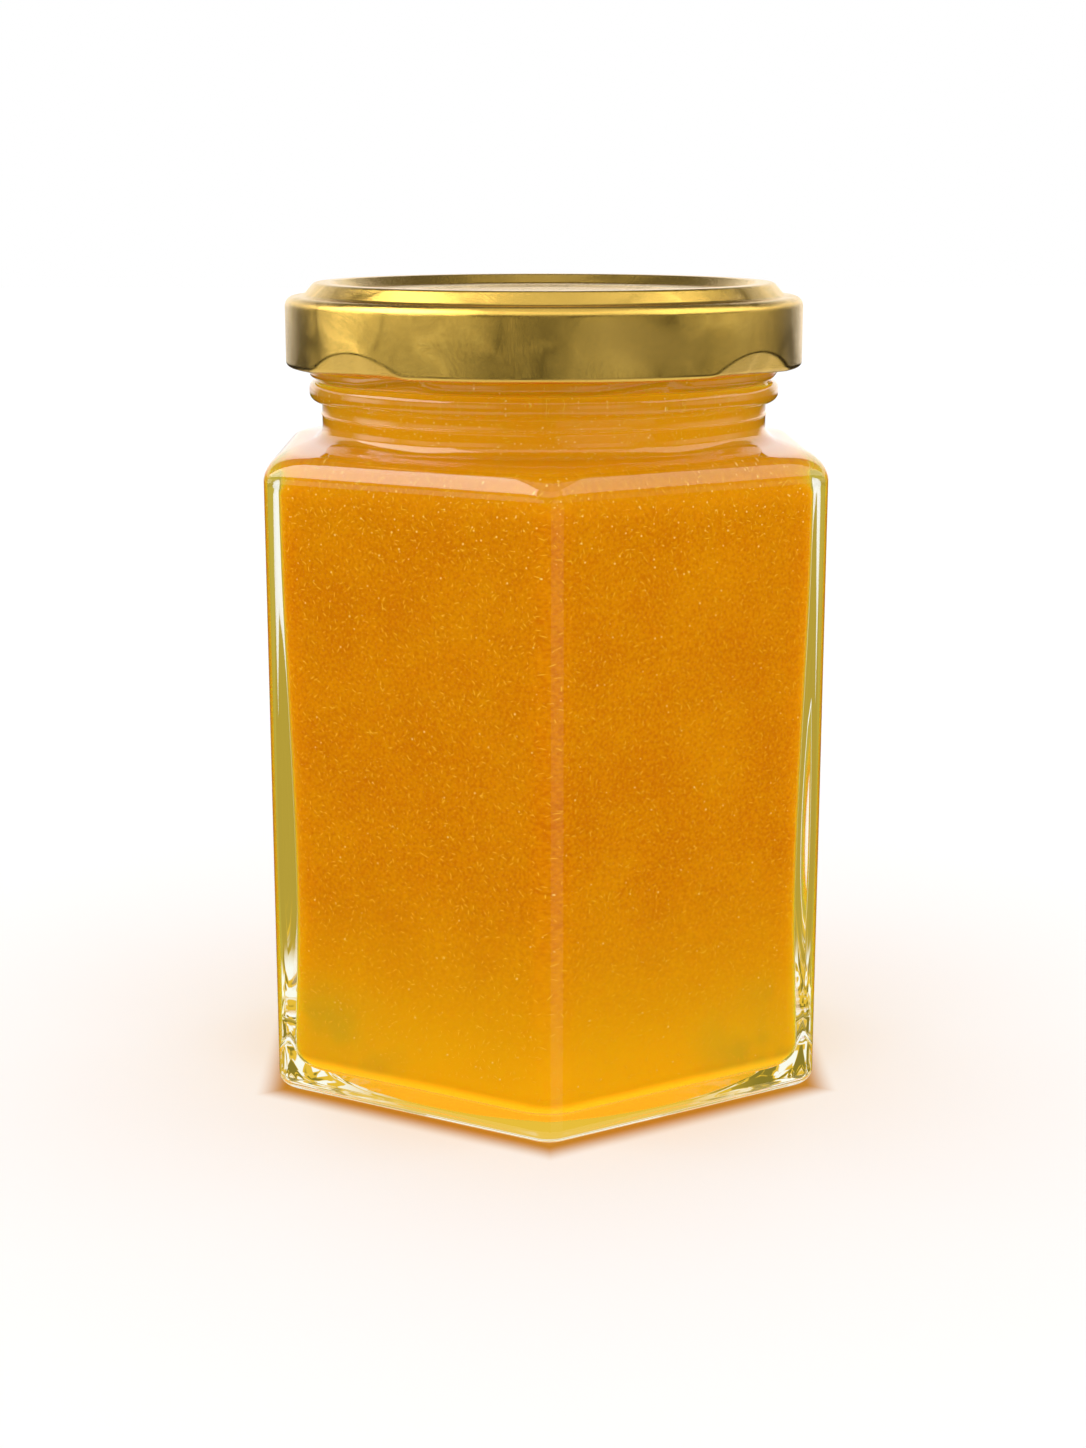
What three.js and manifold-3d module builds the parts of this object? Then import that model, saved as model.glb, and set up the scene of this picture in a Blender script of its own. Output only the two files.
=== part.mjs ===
// A hexagonal glass honey jar with a gold twist-off metal lid, filled with honey.
// Millimetres, +Z up. The origin is the centre of the base, on the surface that the jar stands on.
// One corner of the hexagon points along -Y and two flat sides face +X and -X.

import * as THREE from "three";
import { mergeVertices } from "three/addons/utils/BufferGeometryUtils.js";
import Module from "manifold-3d";

// Body of the jar
const BODY_APOTHEM = 34.8; // centre to flat side, 69.6 mm across flats
const BODY_CORNER = 3.2; // radius of the upright corners
const HEEL_RADIUS = 2.0; // rounding between the base and the sides
const BEARING_RADIUS = 27; // circle inside which the base is hollowed
const PUSH_UP = 1.2; // height of the hollow under the base
const SHOULDER_START = 79.0; // where the flat sides begin to curve in
const SHOULDER_ROUND = 3.2; // rounding between the sides and the shoulder
const SHOULDER_SLOPE = 12; // degrees of the shoulder above the horizontal
const NECK_FILLET = 1.6; // hollow curve between shoulder and neck

// Neck and finish, for a 63 mm twist-off lid
const NECK_RADIUS = 28.75;
const SEAM = { z: 85.8, step: 0.18 }; // fine ring where the neck mould meets the body mould
const BEAD = { z: 88.8, radius: 30.35, half: 1.25 }; // thick ring under the threads
const FINISH_RADIUS = 29.2; // glass between the threads
const RIM_TOP = 100.9;
const RIM_ROUND = 1.1;
const MOUTH_RADIUS = 26.4;

// Threads: ridges that run level under the edge of the lid and then climb to the right
const THREAD_COUNT = 6;
const THREAD_FIRST = -124; // degrees, the low end of the first thread
const THREAD_LEVEL = 45; // degrees that a thread runs level
const THREAD_RISE = 42; // degrees that it then climbs
const THREAD_LOW = 91.2; // centre height of the level stretch
const THREAD_CLIMB = 2.6;
const THREAD_CENTRE = 29.35;
const THREAD_RADIUS = 0.9;
const THREAD_SINK = 1.1; // how far both ends run down into the neck

// Inside of the jar
const WALL_TOP = 2.8; // glass thickness under the shoulder
const WALL_WAIST = 4.1; // and where the wall is thickest
const WAIST_HEIGHT = 25;
const INNER_CORNER = 2.6;
const INNER_SHOULDER = 77.0; // where the inner walls begin to curve in
const FLOOR_EDGE = 2.4; // height of the inner floor at its edge
const FLOOR_CENTRE = 4.0;
const FLOOR_ROUND = 3.2; // rounding between inner floor and wall

// Honey
const HONEY_GAP = 0.3; // clearance to the glass
const HONEY_DROP = 0.4; // more clearance under the shoulder, where its corners lie almost level
const HONEY_LEVEL = 94.6;

// Lid
const LID_RADIUS = 33.25;
const LID_BOTTOM = 91.9;
const LID_SHOULDER = 99.6; // top of the upright skirt
const LID_CREST = { z: 102.4, radius: 28.7 }; // raised ring over the rim of the glass
const LID_PANEL = { z: 101.2, radius: 25.8 };
const LID_BUTTON = { z: 100.98, radius: 17.5 }; // sunken middle of the panel
const SHEET = 0.5; // thickness of the lid
const CURL_RADIUS = 0.62; // rolled lower edge

// Lugs: arched facets pressed into the skirt of the lid
const LUG_ANGLES = [-45.7, 50.8, 134.3, 230.8]; // degrees from the -Y corner
const LUG_HALF_WIDTH = 15; // degrees
const LUG_HEIGHT = 2.9; // top of the arch above the lower edge
const LUG_LEAN = 0.46; // how far a lug goes in for each millimetre down

// Facets: places round one sixth of the body, in degrees from the corner, and round the lid
const SIXTH = [-30, -18, -9, -4.5, -2.2, -0.8, 0.8, 2.2, 4.5, 9, 18];
const LID_SEGMENTS = 60;

const radians = THREE.MathUtils.degToRad;
const lerp = THREE.MathUtils.lerp;

// Station of a profile: how far the flat side is from the axis, the corner radius, and the height.
// Where the corner radius equals the apothem, the section is a circle.
const station = (apothem, corner, z) => ({ apothem, corner, z });
const round = (radius, z) => station(radius, radius, z);

// Distance from the axis to a hexagon with rounded corners, at an angle from one of its corners.
function hexagonRadius(fromCorner, apothem, corner) {
  const side = radians(30);
  const centre = (apothem - corner) / Math.cos(side);
  const off = Math.abs(fromCorner);
  const tangent = Math.atan2(
    corner * Math.sin(side),
    centre + corner * Math.cos(side),
  );
  if (off > tangent) return apothem / Math.cos(side - off);
  const across = centre * Math.sin(off);
  return centre * Math.cos(off) + Math.sqrt(corner ** 2 - across ** 2);
}

// Angles of one turn, each with its distance from the nearest corner.
function bodyAngles() {
  const angles = [];
  for (let sixth = 0; sixth < 6; sixth++)
    for (const off of SIXTH)
      angles.push({ angle: radians(60 * sixth - 90 + off), off: radians(off) });
  return angles;
}

// Turned solid whose section changes from hexagon to circle as its stations say.
function hexagonalTurning(stations) {
  const places = bodyAngles();
  const profile = stations.map((s) => new THREE.Vector2(s.apothem, s.z));
  const geometry = new THREE.LatheGeometry(profile, places.length);
  const position = geometry.attributes.position;
  for (let v = 0; v < position.count; v++) {
    const { angle, off } =
      places[Math.floor(v / stations.length) % places.length];
    const { apothem, corner, z } = stations[v % stations.length];
    const r =
      apothem > 0 ? hexagonRadius(off, apothem, Math.min(corner, apothem)) : 0;
    position.setXYZ(v, r * Math.cos(angle), r * Math.sin(angle), z);
  }
  return onlyPositions(geometry);
}

// Merges the seam and the points on the axis, and drops the triangles that this flattens.
function onlyPositions(geometry) {
  geometry.deleteAttribute("normal");
  geometry.deleteAttribute("uv");
  const merged = mergeVertices(geometry, 1e-4);
  const index = merged.index.array;
  const kept = [];
  for (let i = 0; i < index.length; i += 3) {
    const [a, b, c] = index.slice(i, i + 3);
    if (a !== b && b !== c && c !== a) kept.push(a, b, c);
  }
  merged.setIndex(kept);
  return merged;
}

// Points of an arc in the profile plane, between two angles in degrees, ends included.
function arc(centreX, centreZ, radius, from, to, steps) {
  const points = [];
  for (let i = 0; i <= steps; i++) {
    const a = radians(lerp(from, to, i / steps));
    points.push([
      centreX + radius * Math.cos(a),
      centreZ + radius * Math.sin(a),
    ]);
  }
  return points;
}

// Shoulder from the upright side to the upright neck: a round, a straight slope and a hollow.
// The corners of the hexagon open out on the way until the section is round.
function shoulder(apothem, corner, start, neckRadius) {
  const slope = radians(SHOULDER_SLOPE);
  const roundEnd = apothem - SHOULDER_ROUND * (1 - Math.sin(slope));
  const hollowStart = neckRadius + NECK_FILLET * (1 - Math.sin(slope));
  const neckStart =
    start +
    (SHOULDER_ROUND + NECK_FILLET) * Math.cos(slope) +
    (roundEnd - hollowStart) * Math.tan(slope);
  const outline = [
    ...arc(apothem - SHOULDER_ROUND, start, SHOULDER_ROUND, 0, 90 - SHOULDER_SLOPE, 4),
    ...arc(neckRadius + NECK_FILLET, neckStart, NECK_FILLET, 270 - SHOULDER_SLOPE, 180, 3),
  ];
  return outline.map(([x, z]) => {
    const inward = (apothem - x) / (apothem - neckRadius);
    return station(x, lerp(corner, neckRadius, inward), z);
  });
}

// Glass thickness of the wall: thin under the shoulder, thickest at the waist.
function wallThickness(z) {
  const span =
    z > WAIST_HEIGHT ? INNER_SHOULDER - WAIST_HEIGHT : WAIST_HEIGHT * 1.3;
  const off = THREE.MathUtils.clamp((z - WAIST_HEIGHT) / span, -1, 1);
  return lerp(WALL_WAIST, WALL_TOP, Math.sin((off * Math.PI) / 2) ** 2);
}

// Inside of the jar, from the middle of its floor up to the mouth. The drop lowers its shoulder.
function cavity(drop = 0) {
  const wall = (z) => BODY_APOTHEM - wallThickness(z);
  const heelTop = FLOOR_EDGE + FLOOR_ROUND;
  const heel = arc(wall(heelTop) - FLOOR_ROUND, heelTop, FLOOR_ROUND, -90, 0, 3).map(
    ([x, z]) =>
      station(x, INNER_CORNER + 0.6 * (heelTop - z), z),
  );
  return [
    round(0, FLOOR_CENTRE),
    round(12, FLOOR_CENTRE - 0.25),
    round(23, FLOOR_EDGE + 0.5),
    ...heel,
    ...[15, WAIST_HEIGHT, 40, 58].map((z) => station(wall(z), INNER_CORNER, z)),
    ...shoulder(
      wall(INNER_SHOULDER),
      INNER_CORNER,
      INNER_SHOULDER - drop,
      MOUTH_RADIUS,
    ),
  ];
}

// The same profile moved inwards by a clearance, square to the surface everywhere.
function inset(stations, clearance) {
  return stations.map((s, i) => {
    const before = stations[Math.max(i - 1, 0)];
    const after = stations[Math.min(i + 1, stations.length - 1)];
    const run = after.apothem - before.apothem;
    const rise = after.z - before.z;
    const length = Math.hypot(run, rise);
    if (s.apothem === 0) return station(0, 0, s.z + clearance);
    return station(
      s.apothem - (clearance * rise) / length,
      s.corner,
      s.z + (clearance * run) / length,
    );
  });
}

function jarGlass() {
  const base = [
    round(0, PUSH_UP),
    round(15, PUSH_UP - 0.15),
    round(24, 0.55),
    round(BEARING_RADIUS, 0),
  ];
  const heelCentre = BODY_APOTHEM - HEEL_RADIUS;
  const heel = arc(heelCentre, HEEL_RADIUS, HEEL_RADIUS, -90, 0, 3).map(([x, z]) =>
    station(x, BODY_CORNER, z),
  );
  const outside = shoulder(BODY_APOTHEM, BODY_CORNER, SHOULDER_START, NECK_RADIUS);
  const seam = [
    round(NECK_RADIUS, SEAM.z - SEAM.step),
    round(NECK_RADIUS + SEAM.step, SEAM.z),
    round(NECK_RADIUS, SEAM.z + SEAM.step),
  ];
  const bead = [
    round(NECK_RADIUS, BEAD.z - BEAD.half),
    ...arc(BEAD.radius - BEAD.half, BEAD.z, BEAD.half, -75, 75, 5).map(([x, z]) =>
      round(x, z),
    ),
    round(FINISH_RADIUS, BEAD.z + BEAD.half),
  ];
  const rim = [
    ...arc(FINISH_RADIUS - RIM_ROUND, RIM_TOP - RIM_ROUND, RIM_ROUND, 0, 90, 2),
    ...arc(MOUTH_RADIUS + RIM_ROUND, RIM_TOP - RIM_ROUND, RIM_ROUND, 90, 180, 2),
  ].map(([x, z]) => round(x, z));
  const turned = hexagonalTurning([
    ...base,
    ...heel,
    ...outside,
    ...seam,
    ...bead,
    ...rim,
    ...cavity().reverse(),
  ]);
  return joined([turned, ...threads()]);
}

// Curve of one thread ridge, level first and then climbing.
class ThreadPath extends THREE.Curve {
  constructor(start) {
    super();
    this.start = start;
  }

  getPoint(t, target = new THREE.Vector3()) {
    const turn = t * (THREAD_LEVEL + THREAD_RISE);
    const climbed = Math.max(0, turn - THREAD_LEVEL) / THREAD_RISE;
    const ending = Math.max(0, 1 - Math.min(t, 1 - t) / 0.12);
    const radius = THREAD_CENTRE - THREAD_SINK * ending ** 2;
    const angle = radians(this.start + turn);
    return target.set(
      radius * Math.cos(angle),
      radius * Math.sin(angle),
      THREAD_LOW + THREAD_CLIMB * climbed,
    );
  }
}

function threads() {
  const section = new THREE.Shape();
  section.absarc(0, 0, THREAD_RADIUS, 0, 2 * Math.PI);
  const ridge = {
    steps: 10,
    curveSegments: 3,
    bevelEnabled: false,
  };
  const ridges = [];
  for (let i = 0; i < THREAD_COUNT; i++) {
    const extrudePath = new ThreadPath(THREAD_FIRST + (i * 360) / THREAD_COUNT);
    ridges.push(
      onlyPositions(new THREE.ExtrudeGeometry(section, { ...ridge, extrudePath })),
    );
  }
  return ridges;
}

const wasm = await Module();
wasm.setup();

function solid(geometry) {
  const mesh = new wasm.Mesh({
    numProp: 3,
    vertProperties: new Float32Array(geometry.attributes.position.array),
    triVerts: new Uint32Array(geometry.index.array),
  });
  return new wasm.Manifold(mesh);
}

// One closed geometry from several that overlap.
function joined(geometries) {
  const whole = geometries.map(solid).reduce((sum, next) => sum.add(next));
  const { numProp, numVert, vertProperties, triVerts } = whole.getMesh();
  const points = new Float32Array(numVert * 3);
  for (let v = 0; v < numVert; v++)
    points.set(vertProperties.subarray(v * numProp, v * numProp + 3), v * 3);
  return new THREE.BufferGeometry()
    .setAttribute("position", new THREE.BufferAttribute(points, 3))
    .setIndex(new THREE.BufferAttribute(triVerts, 1));
}

function honeyFilling() {
  const neck = MOUTH_RADIUS - HONEY_GAP;
  return hexagonalTurning([
    ...inset(cavity(HONEY_DROP), HONEY_GAP),
    round(neck, HONEY_LEVEL),
    round(0, HONEY_LEVEL),
  ]);
}

// How far the skirt is pressed in at an angle and height.
function lugDepth(angle, z) {
  const offs = LUG_ANGLES.map((lug) => {
    const turns = (angle - radians(lug - 90)) / (2 * Math.PI);
    return Math.abs(turns - Math.round(turns)) * 360;
  });
  const arch = LUG_HEIGHT * (1 - (Math.min(...offs) / LUG_HALF_WIDTH) ** 2);
  return LUG_LEAN * Math.max(0, arch - (z - LID_BOTTOM));
}

// Outer face of the lid from its middle to the rolled edge, as radius and height.
function lidOutline() {
  const curlCentre = LID_RADIUS - CURL_RADIUS;
  return [
    [0, LID_BUTTON.z],
    [LID_BUTTON.radius, LID_BUTTON.z],
    [LID_BUTTON.radius + 1.4, LID_PANEL.z],
    [LID_PANEL.radius, LID_PANEL.z],
    [LID_PANEL.radius + 1.9, LID_CREST.z - 0.2],
    [LID_CREST.radius, LID_CREST.z],
    [LID_CREST.radius + 0.8, LID_CREST.z - 0.2],
    [LID_CREST.radius + 2.1, LID_CREST.z - 1.5],
    [LID_RADIUS - 1.0, LID_SHOULDER + 0.95],
    [LID_RADIUS - 0.3, LID_SHOULDER + 0.45],
    [LID_RADIUS, LID_SHOULDER],
    [LID_RADIUS, LID_BOTTOM + LUG_HEIGHT],
    ...arc(curlCentre, LID_BOTTOM + CURL_RADIUS, CURL_RADIUS, 0, -180, 4),
  ];
}

// Inner face of the lid from the rolled edge back to the middle.
function lidInside() {
  return [
    [LID_RADIUS - SHEET, LID_BOTTOM + 2.2 * CURL_RADIUS],
    [LID_RADIUS - SHEET, LID_SHOULDER],
    [LID_RADIUS - 1.2, LID_SHOULDER + 0.45],
    [LID_CREST.radius + 1.7, LID_CREST.z - 1.9],
    [LID_CREST.radius + 0.5, LID_CREST.z - 0.6],
    [LID_CREST.radius, LID_CREST.z - SHEET],
    [LID_CREST.radius - 0.7, LID_CREST.z - 0.7],
    [LID_PANEL.radius + 0.1, LID_PANEL.z - SHEET],
    [LID_BUTTON.radius + 1.4, LID_PANEL.z - SHEET],
    [LID_BUTTON.radius, LID_BUTTON.z - SHEET],
    [0, LID_BUTTON.z - SHEET],
  ];
}

function lidShell() {
  const profile = [...lidOutline(), ...lidInside()].map(
    ([x, z]) => new THREE.Vector2(x, z),
  );
  profile.reverse();
  const geometry = new THREE.LatheGeometry(profile, LID_SEGMENTS);
  geometry.rotateX(Math.PI / 2);
  const position = geometry.attributes.position;
  for (let v = 0; v < position.count; v++) {
    const x = position.getX(v);
    const y = position.getY(v);
    const z = position.getZ(v);
    const r = Math.hypot(x, y);
    if (r < LID_RADIUS - 2 || z > LID_SHOULDER) continue;
    const pressed = (r - lugDepth(Math.atan2(y, x), z)) / r;
    position.setXYZ(v, x * pressed, y * pressed, z);
  }
  return onlyPositions(geometry);
}

const glass = new THREE.MeshStandardMaterial({
  color: 0xf4fbf6,
  roughness: 0.03,
  metalness: 0,
  transparent: true,
  opacity: 0.35,
});
const amber = new THREE.MeshStandardMaterial({
  color: 0xd98c0a,
  roughness: 0.25,
  metalness: 0,
});
const gold = new THREE.MeshStandardMaterial({
  color: 0xc9a23a,
  roughness: 0.28,
  metalness: 1,
});

function named(name, geometry, material) {
  const mesh = new THREE.Mesh(geometry, material);
  mesh.name = name;
  return mesh;
}

const honeyJar = new THREE.Group();
honeyJar.add(
  named("glass_jar", jarGlass(), glass),
  named("honey", honeyFilling(), amber),
  named("lid", lidShell(), gold),
);

export default honeyJar;
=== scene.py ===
"""A hexagonal glass jar of set honey with a gold twist-off lid, in metres, +Z up.

The fine glass, honey and lid are turned from the same named sizes as the solids they replace.
"""

import logging
import math
from dataclasses import asdict, dataclass, field
from enum import Enum
from typing import Callable

import bmesh
import bpy
from bpy.types import Material, Node, NodeSocket, NodeTree, Object
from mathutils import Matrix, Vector

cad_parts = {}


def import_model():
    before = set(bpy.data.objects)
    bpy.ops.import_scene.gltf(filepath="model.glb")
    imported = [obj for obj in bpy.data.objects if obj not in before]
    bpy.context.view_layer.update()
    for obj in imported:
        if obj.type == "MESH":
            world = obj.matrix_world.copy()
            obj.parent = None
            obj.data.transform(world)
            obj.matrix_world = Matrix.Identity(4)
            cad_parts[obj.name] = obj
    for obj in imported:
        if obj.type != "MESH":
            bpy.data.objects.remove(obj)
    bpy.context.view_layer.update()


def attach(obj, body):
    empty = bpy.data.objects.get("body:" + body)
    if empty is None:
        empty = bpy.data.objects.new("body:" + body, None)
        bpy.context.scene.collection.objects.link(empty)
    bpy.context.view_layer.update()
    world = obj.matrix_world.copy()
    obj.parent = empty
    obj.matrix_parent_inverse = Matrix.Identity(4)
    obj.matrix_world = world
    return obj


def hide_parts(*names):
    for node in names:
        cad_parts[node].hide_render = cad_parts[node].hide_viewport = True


log = logging.getLogger("honey_jar")

MM = 0.001
SIXTH = math.radians(60)
PHOTO_SIZE = (1086, 1448)
SEED = 11

Colour = tuple[float, float, float]
Span = tuple[float, float]
Line = list[Span]


class Slot(Enum):
    """Material slots of the record."""

    GLASS = "glass"
    HONEY = "honey"
    LID = "gold_lid"


# Arithmetic in node trees


def titled(name: str) -> str:
    """A name as sockets write it, such as Stroke Length for stroke_length."""
    return name.replace("_", " ").title().replace("Ior", "IOR")


def maths(operation: str, swapped: bool = False) -> Callable[..., "Number"]:
    """Makes a method of Number that adds one Math node; swapped puts the number itself last."""

    def method(self: "Number", *others: "Number | float") -> "Number":
        """Adds the node and returns its result."""
        terms = (*others, self) if swapped else (self, *others)
        return self.calculate(operation, *terms)

    return method


class Number:
    """A number that a node tree works out, written with the usual operators."""

    __add__ = __radd__ = maths("ADD")
    __sub__ = maths("SUBTRACT")
    __rsub__ = maths("SUBTRACT", swapped=True)
    __mul__ = __rmul__ = maths("MULTIPLY")
    __truediv__ = maths("DIVIDE")
    __rtruediv__ = maths("DIVIDE", swapped=True)
    __pow__ = maths("POWER")
    __gt__ = maths("GREATER_THAN")
    cos = maths("COSINE")
    sin = maths("SINE")
    sqrt = maths("SQRT")
    abs = maths("ABSOLUTE")
    floor = maths("FLOOR")
    modulo = maths("FLOORED_MODULO")
    at_least = maths("MAXIMUM")
    at_most = maths("MINIMUM")

    def __init__(self, tree: NodeTree, socket: NodeSocket) -> None:
        """Wraps an output socket of the tree."""
        self.tree = tree
        self.socket = socket

    def calculate(self, operation: str, *terms: "Number | float") -> "Number":
        """Adds a Math node whose inputs are numbers of the same tree or constants."""
        links = dict(enumerate(terms))
        return Nodes(self.tree).read("ShaderNodeMath", links, operation=operation)

    def wrap(self, low: float, high: float) -> "Number":
        """This number brought between two limits by whole turns."""
        return self.calculate("WRAP", self, high, low)

    def soft_at_least(self, other: float, softness: float) -> "Number":
        """The greater of the two, with a rounded change from one to the other."""
        return self.calculate("SMOOTH_MAX", self, other, softness)

    def choose(self, yes: "Number | float", no: "Number | float") -> "Number":
        """Yes where this is 1 and no where it is 0."""
        return self * yes + (1 - self) * no

    def rise(self, low: "Number | float", high: "Number | float") -> "Number":
        """Smooth step from 0 at low to 1 at high."""
        share = ((self - low) / (high - low)).at_least(0).at_most(1)
        return share * share * (3 - 2 * share)

    def fall(self, low: "Number | float", high: "Number | float") -> "Number":
        """Smooth step from 1 at low to 0 at high."""
        return 1 - self.rise(low, high)


class Nodes:
    """Short ways to add and join the nodes of a tree."""

    def __init__(self, tree: NodeTree) -> None:
        """Wraps the tree."""
        self.tree = tree

    def node(self, kind: str, links: dict | None = None, **settings: object) -> Node:
        """Adds a node.

        Args:
            kind: the node's type.
            links: input name or number to the socket, Number or constant that feeds it.
            settings: the node's own properties.

        Returns:
            The node.
        """
        node = self.tree.nodes.new(kind)
        for key, value in settings.items():
            setattr(node, key, value)
        for key, value in (links or {}).items():
            self.join(value, node.inputs[key])
        return node

    def join(self, value: object, socket: NodeSocket) -> None:
        """Feeds an input socket from a Number or a socket, or sets it to a constant."""
        if isinstance(value, Number):
            value = value.socket
        if isinstance(value, NodeSocket):
            self.tree.links.new(value, socket)
        else:
            socket.default_value = value

    def read(
        self, kind: str, links: dict | None = None, output: str | int = 0, **settings: object
    ) -> Number:
        """Adds a node and returns one of its outputs as a number."""
        node = self.node(kind, links, **settings)
        return Number(self.tree, node.outputs[output])

    def axes(self, vector: NodeSocket) -> list[Number]:
        """The x, y and z of a vector."""
        parts = self.node("ShaderNodeSeparateXYZ", {0: vector})
        return [Number(self.tree, part) for part in parts.outputs]

    def noise(self, place: object, scale: Number | float, **details: float) -> Number:
        """Noise from 0 to 1; details are such as detail, roughness and distortion."""
        links = {"Vector": place, "Scale": scale} | {titled(k): v for k, v in details.items()}
        return self.read("ShaderNodeTexNoise", links, "Fac")


class TreeBuilder(Nodes):
    """A new node tree with named inputs and outputs."""

    def __init__(self, name: str, kind: str) -> None:
        """Makes an empty tree of a kind such as GeometryNodeTree."""
        super().__init__(bpy.data.node_groups.new(name, kind))
        self.entry = self.tree.nodes.new("NodeGroupInput")
        self.exit = self.tree.nodes.new("NodeGroupOutput")

    def take(self, name: str, kind: str, value: float | None = None) -> NodeSocket:
        """Adds a named input of a kind such as Float, and returns its socket inside the tree."""
        item = self.tree.interface.new_socket(name, in_out="INPUT", socket_type="NodeSocket" + kind)
        if value is not None:
            item.default_value = value
        return self.entry.outputs[name]

    def numbers(self, **defaults: float) -> list[Number]:
        """Adds named number inputs with their defaults."""
        return [
            Number(self.tree, self.take(titled(name), "Float", value))
            for name, value in defaults.items()
        ]

    def give(self, name: str, kind: str, source: NodeSocket | Number) -> None:
        """Adds a named output of a kind such as Float and joins a socket to it."""
        self.tree.interface.new_socket(name, in_out="OUTPUT", socket_type="NodeSocket" + kind)
        self.join(source, self.exit.inputs[name])


def added(name: str, data: bpy.types.ID) -> Object:
    """A new object in the scene."""
    piece = bpy.data.objects.new(name, data)
    bpy.context.scene.collection.objects.link(piece)
    return piece


def run_tree(name: str, mesh: bpy.types.Mesh, tree: NodeTree, values: dict[str, object]) -> Object:
    """Runs a Geometry Nodes tree over a mesh and keeps the result.

    Args:
        name: name of the new piece.
        mesh: what goes into the tree.
        tree: the tree.
        values: the tree's own inputs by name.

    Returns:
        The piece as a plain mesh, with no modifier and no empty material slot.
    """
    piece = added(name, mesh)
    modifier = piece.modifiers.new(name, "NODES")
    modifier.node_group = tree
    for item in tree.interface.items_tree:
        if item.item_type == "SOCKET" and item.in_out == "INPUT" and item.name in values:
            modifier[item.identifier] = values[item.name]
    seen = piece.evaluated_get(bpy.context.evaluated_depsgraph_get())
    result = bpy.data.meshes.new_from_object(seen)
    if result.materials[0] is None:
        used = [0] * len(result.polygons)
        result.polygons.foreach_get("material_index", used)
        result.materials.pop(index=0)
        result.polygons.foreach_set("material_index", [max(i - 1, 0) for i in used])
    piece.modifiers.clear()
    piece.data = result
    piece.name = result.name = name
    return piece


# Outlines that are turned into glass, honey and lid


@dataclass(frozen=True)
class Station:
    """One place on a profile: distance of the flat side, corner radius and height, in metres.

    Where the corner radius reaches the apothem, the section is a circle.
    """

    apothem: float
    corner: float
    height: float
    wetted: bool = False


def ring(radius: float, height: float, wetted: bool = False) -> Station:
    """Station with a round section."""
    return Station(radius, radius, height, wetted)


def between(low: float, high: float, steps: int) -> list[float]:
    """Evenly spaced values from low to high, without the two ends."""
    return [low + (high - low) * i / steps for i in range(1, steps)]


def arc(centre: tuple[float, float], radius: float, start: float, end: float, steps: int) -> Line:
    """Points of an arc in the profile plane.

    Args:
        centre: its middle.
        radius: its radius.
        start: first angle in degrees.
        end: last angle in degrees.
        steps: number of stretches.

    Returns:
        Points with both ends included.
    """
    turns = [math.radians(start + (end - start) * i / steps) for i in range(steps + 1)]
    return [(centre[0] + radius * math.cos(t), centre[1] + radius * math.sin(t)) for t in turns]


def rounded(corners: list[tuple[float, float, float]], steps: int = 6) -> Line:
    """Line through given corners, each rounded by its own radius.

    Args:
        corners: distance, height and rounding of each corner.
        steps: stretches in each rounding.

    Returns:
        Points of the line.
    """
    line: Line = []
    for i, (x, z, radius) in enumerate(corners):
        if radius == 0 or i in (0, len(corners) - 1):
            line.append((x, z))
            continue
        here = Vector((x, z))
        back = (Vector(corners[i - 1][:2]) - here).normalized()
        ahead = (Vector(corners[i + 1][:2]) - here).normalized()
        half = back.angle(ahead) / 2
        reach = radius / math.tan(half)
        first, last = here + back * reach, here + ahead * reach
        middle = here + (back + ahead).normalized() * radius / math.sin(half)
        spoke_a, spoke_b = first - middle, last - middle
        for step in range(steps + 1):
            spoke = spoke_a.slerp(spoke_b, step / steps)
            point = middle + spoke.normalized() * radius
            line.append((point.x, point.y))
    return line


Relief = Callable[[TreeBuilder, Number, Number, Number], Number]


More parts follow.
